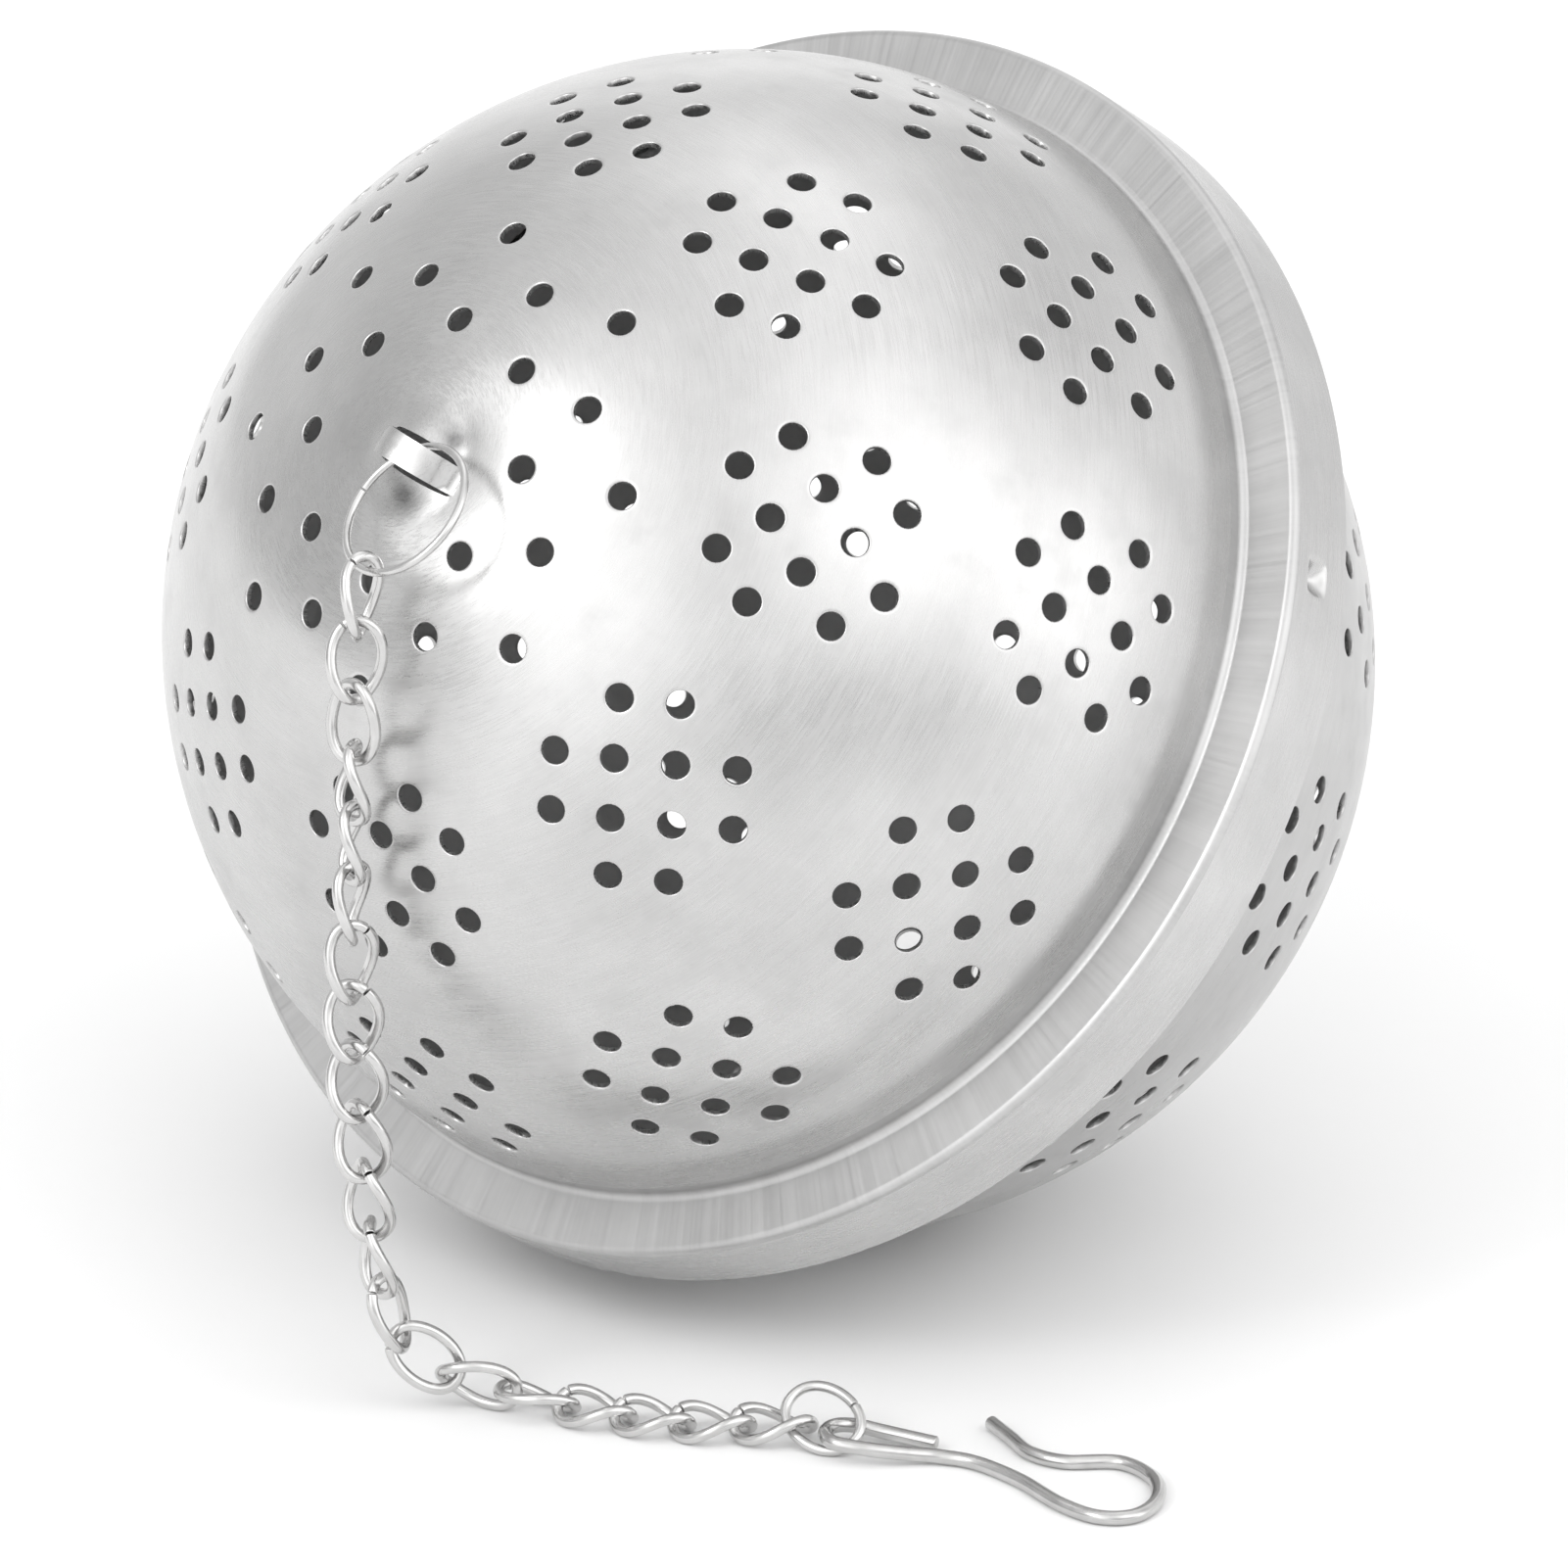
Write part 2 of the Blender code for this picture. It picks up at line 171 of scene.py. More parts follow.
END_WIRE = 0.36
END_CUT = 0.62 * math.pi
END_GAP = 0.02
END_POINTS = 56
END_CENTRE = (29.96, -25.2, 1.85)
END_ALONG = (0.945, 0.026, -0.326)
END_SIDE = (0.159, 0.835, 0.527)
TOWARDS_FRONT = (0.0, -1.0, 0.0)

# Hook.
HOOK_WIRE = 0.5
HOOK_ROUTE = (
    (36.4, -21.0, 0.55),
    (33.1, -22.3, 0.8),
    (31.4, -23.4, 1.15),
    (30.6, -24.7, 1.35),
    (30.9, -26.0, 1.4),
    (32.2, -26.9, 1.4),
    (33.4, -26.6, 1.35),
    (34.9, -25.6, 1.15),
    (36.5, -24.0, 0.85),
    (38.0, -22.5, 0.6),
    (40.4, -21.5, 0.51),
    (44.4, -21.7, 0.51),
    (48.7, -22.7, 0.51),
    (51.9, -22.6, 0.51),
    (53.6, -20.9, 0.51),
    (53.2, -18.2, 0.51),
    (50.9, -15.6, 0.51),
    (47.4, -15.0, 0.51),
    (44.6, -17.4, 0.51),
    (42.0, -17.9, 0.51),
    (39.6, -17.0, 0.51),
    (36.7, -15.9, 0.51),
)

# Studio: a surround with soft panels in it, each an elevation, an azimuth and a strength.
SURROUND = 0.58
PANEL_FOCUS = 12.0
PANELS = (
    (62, 0, 0.55),
    (62, 120, 0.95),
    (62, -120, 0.5),
    (36, 18, 0.5),
    (36, -18, 1.3),
    (36, -90, 1.2),
    (10, 26, 1.25),
    (10, 77, 0.5),
    (10, 129, 0.7),
    (10, 180, 0.25),
    (10, -77, 0.85),
)

KEY_PLACE = (-0.1, -0.75, 0.6)
KEY_AIM = (0.0, 0.0, 0.03)
KEY_SIZE = 0.25
KEY_POWER = 1.2
FLOOR_HALF = 1.6
FLOOR_STEPS = 8
CAMERA_PLACE = (0.50521, -0.55781, 0.32241)
CAMERA_TURN = (math.radians(69.0), 0.0, math.radians(42.258))
CAMERA_LENS = 269.8
CAMERA_SENSOR = 36.0

# Material slots of the sheet.
OUTSIDE, LEDGE, INSIDE = range(3)


# ---------------------------------------------------------------- surfaces


class Surface:
    """Points with their own normals, and the faces between them. A measured point's normal is
    worked out from the faces round it that look the same way."""

    def __init__(self):
        self.points = []
        self.normals = []
        self.faces = []
        self.slots = []
        self.measured = set()

    def add(self, point, normal, measured=False):
        self.points.append(tuple(point))
        self.normals.append(tuple(normal))
        if measured:
            self.measured.add(len(self.points) - 1)
        return len(self.points) - 1

    def row(self, points, normals, measured=False):
        return [self.add(p, n, measured) for p, n in zip(points, normals)]

    def face(self, corners, slot=OUTSIDE):
        self.faces.append(tuple(corners))
        self.slots.append(slot)

    def band(self, first, second, slot=OUTSIDE, closed=True):
        count = len(first)
        for i in range(count if closed else count - 1):
            j = (i + 1) % count
            self.face((first[i], second[i], second[j], first[j]), slot)

    def object(self, name, materials, matrix, coordinates):
        """Makes the mesh, placed by matrix. coordinates gives the (u, v) of the points."""
        points = np.array(self.points)
        uv_table = coordinates(points)
        turn = np.array(matrix.to_3x3())
        points = points @ turn.T + np.array(matrix.translation) / MM
        normals = np.array(self.normals, float) @ turn.T
        faces = []
        measured = np.zeros_like(points)
        for corners in self.faces:
            a, b, c = points[list(corners[:3])]
            turned = np.cross(b - a, c - a)
            if len(corners) == 4:
                turned += np.cross(c - a, points[corners[3]] - a)
            if turned @ normals[list(corners)].sum(0) < 0:
                corners = corners[::-1]
                turned = -turned
            faces.append(corners)
            if not self.measured.isdisjoint(corners):
                alike = [i for i in corners if normals[i] @ turned > 0.5 * np.linalg.norm(turned)]
                measured[alike] += turned
        for i in self.measured:
            length = np.linalg.norm(measured[i])
            if length > 0:
                normals[i] = measured[i] / length
        normals /= np.linalg.norm(normals, axis=1, keepdims=True)
        mesh = bpy.data.meshes.new(name)
        mesh.from_pydata((points * MM).tolist(), [], faces)
        mesh.polygons.foreach_set("use_smooth", [True] * len(faces))
        mesh.polygons.foreach_set("material_index", self.slots)
        for material in materials:
            mesh.materials.append(material)
        corner_points = np.empty(len(mesh.loops), np.int32)
        mesh.loops.foreach_get("vertex_index", corner_points)
        uv = uv_table[corner_points]
        starts = np.array([p.loop_start for p in mesh.polygons])
        first = np.repeat(uv[starts, 0], [len(f) for f in faces])
        uv[:, 0] += np.round(first - uv[:, 0])
        mesh.uv_layers.new(name="UVMap").data.foreach_set("uv", uv.ravel())
        mesh.update()
        mesh.normals_split_custom_set_from_vertices(normals.tolist())
        obj = bpy.data.objects.new(name, mesh)
        bpy.context.scene.collection.objects.link(obj)
        return obj


def round_coordinates(points):
    """u round the ball's axis, v along the sheet."""
    around = np.arctan2(points[:, 1], points[:, 0]) / (2.0 * math.pi)
    along = np.arctan2(np.hypot(points[:, 0], points[:, 1]), points[:, 2]) / math.pi
    return np.stack((around, along), axis=1)


def ball_frame():
    return Matrix.Translation(Vector((BALL_X, BALL_Y, BALL_Z)) * MM) @ Matrix.Rotation(TILT, 4, "X")


def shifted(point):
    """A table point measured from under the ball, as a world point in millimetres."""
    return Vector(point) + Vector((BALL_X, BALL_Y, 0.0))


def direction(polar, azimuth):
    return Vector(
        (
            math.sin(polar) * math.cos(azimuth),
            math.sin(polar) * math.sin(azimuth),
            math.cos(polar),
        )
    )


def unrolled(ray):
    """The unit direction as a point of the flat azimuthal map."""
    polar = math.acos(max(-1.0, min(1.0, ray.z)))
    azimuth = math.atan2(ray.y, ray.x)
    return Vector((polar * math.cos(azimuth), polar * math.sin(azimuth)))


def single_holes(rings):
    for polar, count, phase in rings:
        for i in range(count):
            yield direction(math.radians(polar), math.radians(phase + 360.0 * i / count))


def cluster_holes(polar, count, phase):
    """Each cluster is a square grid of sixteen without its corners, standing on one corner."""
    steps = (-1.5, -0.5, 0.5, 1.5)
    for i in range(count):
        azimuth = math.radians(phase + 360.0 * i / count)
        centre = direction(math.radians(polar), azimuth)
        across = Vector((-math.sin(azimuth), math.cos(azimuth), 0.0))
        along = centre.cross(across)
        for a in steps:
            for b in steps:
                if abs(a) + abs(b) == 3.0:
                    continue
                x = HOLE_PITCH * (a - b) / math.sqrt(2.0)
                y = HOLE_PITCH * (a + b) / math.sqrt(2.0)
                yield (centre + across * x + along * y).normalized()


def hole_axes(ray):
    side = ray.cross(Vector((0.0, 0.0, 1.0))).normalized()
    return side, side.cross(ray)


def hole_ring(ray, radius, outside, depth, tilt):
    """Points and normals of one ring round a hole: outside widens it, depth sinks it into the
    sheet, and tilt leans its normals in over the hole."""
    side, up = hole_axes(ray)
    reach = (HOLE_RADIUS + outside) / radius
    lean = math.radians(tilt)
    for i in range(HOLE_SIDES):
        turn = 2.0 * math.pi * i / HOLE_SIDES
        offset = side * math.cos(turn) + up * math.sin(turn)
        here = ray * math.cos(reach) + offset * math.sin(reach)
        away = offset * math.cos(reach) - ray * math.sin(reach)
        yield here * (radius - depth), here * math.cos(lean) - away * math.sin(lean)


def strip_axes():
    along = Vector((math.cos(STRIP_TURN), math.sin(STRIP_TURN)))
    return Vector(STRIP_CENTRE), along, Vector((-along.y, along.x))


def boss_lift(x, y):
    away = math.hypot(x - BOSS_CENTRE[0], y - BOSS_CENTRE[1]) / BOSS_RADIUS
    rise = max(0.0, 1.0 - away)
    return BOSS_HEIGHT * rise * rise * (3.0 - 2.0 * rise)


def strip_lift(u):
    return STRIP_LIFT * (1.0 - min(1.0, abs(u) / STRIP_HALF) ** 4)


def slit_outlines():
    """Both slits beside the strip, each as (point, lift) pairs in millimetres round the pole."""
    centre, along, across = strip_axes()
    steps = SLIT_STEPS
    for side in (1.0, -1.0):
        outline = []
        for i in range(steps + 1):
            u = STRIP_HALF * (2.0 * i / steps - 1.0)
            spot = centre + along * u + across * (side * STRIP_WIDTH / 2.0)
            outline.append((spot, boss_lift(*spot) + strip_lift(u)))
        for i in range(steps - 1, 0, -1):
            u = STRIP_HALF * (2.0 * i / steps - 1.0)
            gap = SLIT_WIDTH * (1.0 - 0.6 * (u / STRIP_HALF) ** 2)
            spot = centre + along * u + across * (side * (STRIP_WIDTH / 2.0 + gap))
            outline.append((spot, boss_lift(*spot)))
        yield outline


def boss_points():
    """A fine grid over the boss, on the strip and outside its slits."""
    centre, along, across = strip_axes()
    reach = int(FINE_REACH / FINE_STEP)
    for i in range(-reach, reach + 1):
        for j in range(-reach, reach + 1):
            u, v = i * FINE_STEP, j * FINE_STEP * 0.93
            spot = centre + along * u + across * v
            if spot.length > FINE_REACH:
                continue
            if abs(u) < STRIP_HALF + 0.15:
                if abs(abs(v) - STRIP_WIDTH / 2.0 - SLIT_WIDTH / 2.0) < SLIT_WIDTH / 2.0 + 0.15:
                    continue
                if abs(v) < STRIP_WIDTH / 2.0:
                    yield spot, boss_lift(*spot) + strip_lift(u)
                    continue
            yield spot, boss_lift(*spot)


def grid_rays(radius, start):
    """Even points over the dome."""
    step = GRID_STEP / radius
    polar = start
    while polar < math.radians(EDGE_POLAR) - 0.6 * step:
        count = max(6, round(2.0 * math.pi * math.sin(polar) / step))
        for i in range(count):
            yield direction(polar, 2.0 * math.pi * (i + 0.5 * (round(polar / step) % 2)) / count)
        polar += step * 0.9


def pierced_cap(sheet, radius, centre_z, facing, holes, turns, with_strip):
    """Adds one pierced dome, both faces and the walls of its openings. facing is 1 for a dome
    towards +Z and -1 towards -Z. Returns its outer and inner edge."""
    spots, lifts, owner, edges = [], [], {}, []
    hole_loops, slit_loops = [], []

    def add_loop(points, number):
        first = len(spots)
        for spot, lift in points:
            owner[len(spots)] = number
            spots.append(spot)
            lifts.append(lift)
        loop = list(range(first, len(spots)))
        edges.extend(zip(loop, loop[1:] + loop[:1]))
        return loop

    edge_polar = math.radians(EDGE_POLAR)
    for turn in turns:
        spots.append(Vector((math.cos(turn), math.sin(turn))) * edge_polar)
        lifts.append(0.0)
    for ray in holes:
        ring = [p.normalized() for p, _ in hole_ring(ray, radius, HOLE_COLLAR, 0.0, 0.0)]
        hole_loops.append(add_loop([(unrolled(p), 0.0) for p in ring], len(hole_loops)))
    table = np.array([tuple(ray) for ray in holes])
    clear = math.cos((HOLE_RADIUS + HOLE_COLLAR + 0.35) / radius)
    if with_strip:
        for outline in slit_outlines():
            number = -1 - len(slit_loops)
            slit_loops.append(add_loop([(spot / radius, lift) for spot, lift in outline], number))
        for spot, lift in boss_points():
            ray = direction(spot.length / radius, math.atan2(spot.y, spot.x))
            if (table @ np.array(ray)).max() < clear:
                spots.append(spot / radius)
                lifts.append(lift)
    start = (FINE_REACH + 1.0) / radius if with_strip else 0.4 * GRID_STEP / radius
    for ray in grid_rays(radius, start):
        if (table @ np.array(ray)).max() < clear:
            spots.append(unrolled(ray))
            lifts.append(0.0)
    flat, _, faces, origins, _, _ = delaunay_2d_cdt(spots, edges, [], 0, 1e-7)

    def placed(vector):
        return (vector.x, vector.y, facing * vector.z + centre_z)

    def turned(vector):
        return (vector.x, vector.y, facing * vector.z)

    outer, inner = [], []
    for spot, origin in zip(flat, origins):
        lift = lifts[origin[0]]
        ray = direction(spot.length, math.atan2(spot.y, spot.x))
        near = with_strip and spot.length * radius < FINE_REACH
        outer.append(sheet.add(placed(ray * (radius + lift)), turned(ray), near))
        inner.append(sheet.add(placed(ray * (radius + lift - SHEET)), turned(-ray), near))
    for face in faces:
        owners = {owner.get(origins[i][0], ("free", i)) for i in face}
        if len(owners) > 1:
            sheet.face([outer[i] for i in face], OUTSIDE)
            sheet.face([inner[i] for i in face], INSIDE)
    place = {origin[0]: i for i, origin in enumerate(origins)}
    for ray, loop in zip(holes, hole_loops):
        last = [outer[place[i]] for i in loop]
        for level in HOLE_PROFILE:
            ring = list(hole_ring(ray, radius, *level))
            row = sheet.row([placed(p) for p, _ in ring], [turned(n) for _, n in ring])
            sheet.band(last, row)
            last = row
        sheet.band(last, [inner[place[i]] for i in loop], INSIDE)
    for loop in slit_loops:
        top = [outer[place[i]] for i in loop]
        walls = []
        for depth in (0.05, SHEET - 0.05):
            points, normals = [], []
            for k, i in enumerate(loop):
                before, after = spots[loop[k - 1]], spots[loop[(k + 1) % len(loop)]]
                way = (after - before).normalized()
                inward = Vector((-way.y, way.x, 0.0))
                ray = direction(spots[i].length, math.atan2(spots[i].y, spots[i].x))
                points.append(placed(ray * (radius + lifts[i] - depth)))
                normals.append(inward)
            middle = sum((Vector(p) for p in points), Vector()) / len(points)
            if sum(n.dot(middle - Vector(p)) for n, p in zip(normals, points)) < 0.0:
                normals = [-n for n in normals]
            walls.append(sheet.row(points, normals))
        sheet.band(top, walls[0])
        sheet.band(walls[0], walls[1])
        sheet.band(walls[1], [inner[place[i]] for i in loop], INSIDE)
    count = range(len(turns))
    return [outer[place[i]] for i in count], [inner[place[i]] for i in count]


def lock_offset(turn):
    """Degrees from the nearest lock."""
    step = 360.0 / LOCK_COUNT
    return (math.degrees(turn) - LOCK_START + step / 2.0) % step - step / 2.0


def rim_turns(close, step):
    """Even columns round the rim, closer together within close degrees of each lock."""
    turns = []
    for lock in range(LOCK_COUNT):
        middle = LOCK_START + 360.0 * lock / LOCK_COUNT
        count = int(close / step)
        turns += [middle + step * i for i in range(-count, count + 1)]
        room = 360.0 / LOCK_COUNT - 2.0 * count * step
        even = round(room / COLUMN_STEP)
        turns += [middle + count * step + room * i / even for i in range(1, even)]
    return [math.radians(turn) for turn in sorted(turn % 360.0 for turn in turns)]


def turned_rows(sheet, turns, profile, edge, inner_edge, slots):
    """Carries both faces of the sheet along a turned profile of (radius, z, angle of the normal) points.
    slots gives each step's material."""
    for (radius, z, angle), slot in zip(profile, slots):
        a = math.radians(angle)
        for inside in (False, True):
            r = radius - SHEET * math.cos(a) * inside
            h = z - SHEET * math.sin(a) * inside
            sign = -1.0 if inside else 1.0
            points = [(r * math.cos(t), r * math.sin(t), h) for t in turns]
            normals = [
                (sign * math.cos(a) * math.cos(t), sign * math.cos(a) * math.sin(t), sign * math.sin(a))
                for t in turns
            ]
            row = sheet.row(points, normals)
            if inside:
                sheet.band(inner_edge, row, INSIDE)
                inner_edge = row
            else:
                sheet.band(edge, row, slot)
                edge = row
    return edge, inner_edge


def arc(centre_r, centre_z, radius, start, end, steps, hollow):
    """Profile points of a quarter round. A hollow one has its normals towards its centre."""
    for i in range(steps + 1):
        angle = start + (end - start) * i / steps
        a = math.radians(angle)
        point = (centre_r + radius * math.cos(a), centre_z + radius * math.sin(a))
        yield (*point, angle + 180.0 if hollow else angle)


def dimple_push(turn, z):
    across = abs(lock_offset(turn)) / DIMPLE_SPREAD
    down = abs(z - DIMPLE_Z) / DIMPLE_RISE
    return DIMPLE_DEPTH * max(0.0, 1.0 - across**1.6) * max(0.0, 1.0 - down**1.6)


def skirt(sheet, turns, edge, inner_edge):
    """The lid's skirt with its dimples, and the cut edge at its foot."""
    rows = round(2.0 * DIMPLE_BAND / DIMPLE_STEP) + 1
    levels = [-1.0, -1.3] + [DIMPLE_Z + DIMPLE_BAND - DIMPLE_STEP * i for i in range(rows)]
    levels += [-5.1, -5.8, -SKIRT_DEPTH + CUT_EDGE]
    for z in levels:
        for inside in (False, True):
            sign = -1.0 if inside else 1.0
            points, normals = [], []
            for t in turns:
                r = RIM_RADIUS - dimple_push(t, z) - SHEET * inside
                points.append((r * math.cos(t), r * math.sin(t), z))
                normals.append((sign * math.cos(t), sign * math.sin(t), 0.0))
            row = sheet.row(points, normals, abs(z - DIMPLE_Z) < DIMPLE_BAND + 0.3)
            if inside:
                sheet.band(inner_edge, row, INSIDE)
                inner_edge = row
            else:
                sheet.band(edge, row)
                edge = row
    last = edge
    for radius in (RIM_RADIUS - CUT_EDGE, RIM_RADIUS - SHEET + CUT_EDGE):
        points = [(radius * math.cos(t), radius * math.sin(t), -SKIRT_DEPTH) for t in turns]
        row = sheet.row(points, [(0.0, 0.0, -1.0)] * len(turns))
        sheet.band(last, row)
        last = row
    sheet.band(last, inner_edge, INSIDE)


def lid_half():
    sheet = Surface()
    turns = rim_turns(3.0, 0.2)
    holes = list(single_holes(POLE_RINGS))
    holes += list(cluster_holes(*MIDDLE_CLUSTERS))
    holes += list(cluster_holes(*OUTER_CLUSTERS))
    edge, inner_edge = pierced_cap(sheet, LID_RADIUS, 0.0, 1, holes, turns, True)
    profile, slots = [], []
    for polar in (85.0, 86.0, 87.0, 88.0):
        p = math.radians(polar)
        profile.append((LID_RADIUS * math.sin(p), LID_RADIUS * math.cos(p), 90.0 - polar))
        slots.append(OUTSIDE)
    foot = LID_RADIUS + LID_FILLET
    profile += arc(foot, LID_FILLET, LID_FILLET, 180.0, 270.0, 6, True)
    slots += [LEDGE] * 7
    brim = RIM_RADIUS - RIM_CORNER
    ledge = [(foot + (brim - foot) * i / 4, 0.0, 90.0) for i in range(1, 4)]
    profile += [(r, z, a + 360.0) for r, z, a in ledge]
    slots += [LEDGE] * 3
    profile += arc(brim, -RIM_CORNER, RIM_CORNER, 90.0, 0.0, 6, False)
    slots += [LEDGE] * 7
    edge, inner_edge = turned_rows(sheet, turns, profile, edge, inner_edge, slots)
    skirt(sheet, turns, edge, inner_edge)
    return sheet.object("lid_shell", LID_STEEL, ball_frame(), round_coordinates)


def base_half():
    sheet = Surface()
    turns = rim_turns(5.0, 0.5)
    holes = list(single_holes(POLE_RINGS))
    holes += list(cluster_holes(*MIDDLE_CLUSTERS))
    polar, count, _ = OUTER_CLUSTERS
    holes += list(cluster_holes(polar, count, BASE_OUTER_PHASE))
    edge, inner_edge = pierced_cap(sheet, BASE_RADIUS, BASE_CENTRE, -1, holes, turns, False)
    profile = []
    for polar in (86.0, 88.0, 90.0):
        p = math.radians(polar)
        z = BASE_CENTRE - BASE_RADIUS * math.cos(p)
        profile.append((BASE_RADIUS * math.sin(p), z, polar - 90.0))
    under = LIP_TOP - SHEET
    neck = under - NECK_FILLET - BASE_CENTRE
    profile += [(BASE_RADIUS, BASE_CENTRE + neck * i / 3, 0.0) for i in (1, 2)]
    profile += arc(BASE_RADIUS + NECK_FILLET, under - NECK_FILLET, NECK_FILLET, 180.0, 90.0, 5, True)
    edge, inner_edge = turned_rows(sheet, turns, profile, edge, inner_edge, [OUTSIDE] * len(profile))
    rims = []
    for z, inset, normal in (
        (under, CUT_EDGE, -1.0),
        (under, 0.0, -1.0),
        (LIP_TOP, 0.0, 1.0),
        (LIP_TOP, CUT_EDGE, 1.0),
    ):
        points, normals = [], []
        for t in turns:
            step = (abs(lock_offset(t)) - NOTCH_HALF + NOTCH_RAMP) / NOTCH_RAMP
            step = min(1.0, max(0.0, step))
            radius = NOTCH_RADIUS + (LIP_RADIUS - NOTCH_RADIUS) * step - inset
            points.append((radius * math.cos(t), radius * math.sin(t), z))
            sideways = (math.cos(t), math.sin(t), 0.0)
            normals.append((0.0, 0.0, normal) if inset else sideways)
        rims.append(sheet.row(points, normals))
    for first, second in zip([edge] + rims, rims):
        sheet.band(first, second)
    sheet.band(rims[-1], inner_edge, INSIDE)
    return sheet.object("base_shell", BASE_STEEL, ball_frame(), round_coordinates)


# ---------------------------------------------------------------- wires


def smooth_route(points, parts):
    """Catmull-Rom points through the route."""
    points = [Vector(p) for p in points]
    points = [2.0 * points[0] - points[1]] + points + [2.0 * points[-1] - points[-2]]
    out = []
    for a, b, c, d in zip(points, points[1:], points[2:], points[3:]):
        for i in range(parts):
            t = i / parts
            out.append(
                0.5
                * (
                    2.0 * b
                    + (c - a) * t
                    + (2.0 * a - 5.0 * b + 4.0 * c - d) * t**2
                    + (3.0 * b - a - 3.0 * c + d) * t**3
                )
            )
    out.append(points[-2])
    return out


def frame_of(origin, along, side):
    """A frame with local X along and local Y on the side, squared up. The origin is in millimetres."""
    x = Vector(along).normalized()
    y = Vector(side)
    y = (y - x * y.dot(x)).normalized()
    z = x.cross(y)
    turn = Matrix((x, y, z)).transposed().to_4x4()
    return Matrix.Translation(Vector(origin) * MM) @ turn


def wire(name, points, radius, matrix, material, sides=12, chamfer=0.18):
    """A drawn wire with two cut ends through points in millimetres. chamfer is a share of radius."""
    points = [Vector(p) for p in points]
    last = len(points) - 1
    ways = [(points[min(i + 1, last)] - points[max(i - 1, 0)]).normalized() for i in range(last + 1)]
    normal = ways[0].orthogonal().normalized()
    surface = Surface()
    rows = []

    def ring(centre, way, across, size, lean):
        """lean turns the normals from outward at 0 towards the way at 1."""
        other = way.cross(across)
        spots, normals = [], []
        for k in range(sides):
            turn = 2.0 * math.pi * k / sides
            out = across * math.cos(turn) + other * math.sin(turn)
            spots.append(centre + out * size)
            normals.append(out * (1.0 - abs(lean)) + way * lean)
        return surface.row(spots, normals)

    frames = []
    for i, way in enumerate(ways):
        normal = (normal - way * normal.dot(way)).normalized()
        frames.append(normal.copy())
    cut = chamfer * radius
    centres = [points[0] + ways[0] * cut] + points[1:-1] + [points[-1] - ways[-1] * cut]
    rows.append(ring(points[0], ways[0], frames[0], radius - cut, -1.0))
    for centre, way, across in zip(centres, ways, frames):
        rows.append(ring(centre, way, across, radius, 0.0))
    rows.append(ring(points[-1], ways[-1], frames[-1], radius - cut, 1.0))
    for first, second in zip(rows, rows[1:]):
        surface.band(first, second)
    surface.face(rows[0])
    surface.face(rows[-1])
    lengths = [0.0]
    for a, b in zip(points, points[1:]):
        lengths.append(lengths[-1] + (b - a).length)
    along = [0.0] + lengths + [lengths[-1]]
    table = np.array([(k / sides, along[i] / 10.0) for i in range(len(rows)) for k in range(sides)])
    return surface.object(name, [material], matrix, lambda spots: table)


def link_point(length, width, start_turn, twist, shift, s):
    """The point at s radians round an oval that twists by twist degrees over its length."""
    part = (1.0 - math.cos(s)) / 2.0
    turn = math.radians(start_turn - twist * part)
    half = 0.5 * width * math.copysign(abs(math.sin(s)) ** 0.9, math.sin(s))
    return (length * part - shift, half * math.cos(turn), half * math.sin(turn))


def link_wire(length, width, start_turn, twist, shift, cut, gap, count):
    """The points of a twisted oval from one side of its cut round to the other."""
    points = []
    for i in range(count + 1):
        s = cut + gap + (2.0 * math.pi - 2.0 * gap) * i / count
        points.append(link_point(length, width, start_turn, twist, shift, s))
    return points


def turn_at(number):
    """The start turn of a link in degrees, straight between the knots."""
    for (n0, t0), (n1, t1) in zip(TURN_KNOTS, TURN_KNOTS[1:]):
        if number <= n1:
            return t0 + (t1 - t0) * (number - n0) / (n1 - n0)
    return TURN_KNOTS[-1][1]


def junctions():
    """Where each link meets the next, stepped along the route."""
    path = smooth_route(ROUTE, 40)
    spots = [path[0]]
    at = 0
    for n in range(LINK_COUNT):
        pitch = HANGING_PITCH if n < HANGING_LINKS else LYING_PITCH
        while at < len(path) - 1 and (path[at] - spots[-1]).length < pitch:
            at += 1
        spots.append(spots[-1] + (path[at] - spots[-1]).normalized() * pitch)
    return spots


def jump_ring():
    centre = Vector(RING_CENTRE)
    normal = Vector(RING_NORMAL).normalized()
    inward = Vector(STRIP_CENTRE).to_3d() + Vector((0.0, 0.0, centre.z)) - centre
    inward = (inward - normal * inward.dot(normal)).normalized()
    pivot = centre + inward * RING_RADIUS
    matrix = ball_frame() @ frame_of(pivot, normal.cross(inward), inward)
    points = []
    for i in range(RING_POINTS + 1):
        turn = RING_CUT + RING_GAP + (2.0 * math.pi - 2.0 * RING_GAP) * i / RING_POINTS
        points.append((RING_RADIUS * math.sin(turn), RING_RADIUS * (math.cos(turn) - 1.0), 0.0))
    piece = wire("jump_ring_wire", points, RING_WIRE, matrix, WIRE_STEEL, sides=14, chamfer=0.12)
    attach(piece, "jump_ring")
    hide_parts("jump_ring")


def chain():
    spots = junctions()
    for n in range(1, LINK_COUNT + 1):
        a, b = spots[n - 1], spots[n]
        along = (b - a).normalized()
        shift = (LINK_LENGTH - (b - a).length) / 2.0
        matrix = frame_of(shifted(a), along, TOWARDS_FRONT)
        twist = turn_at(n) - turn_at(n + 1) + 90.0
        oval = (LINK_LENGTH, LINK_WIDTH, turn_at(n), twist, shift)
        points = link_wire(*oval, LINK_CUT, LINK_GAP, LINK_POINTS)
        piece = wire(f"link_{n:02d}_wire", points, LINK_WIRE, matrix, WIRE_STEEL)
        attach(piece, f"chain_link_{n:02d}")
        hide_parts(f"chain_link_{n:02d}")


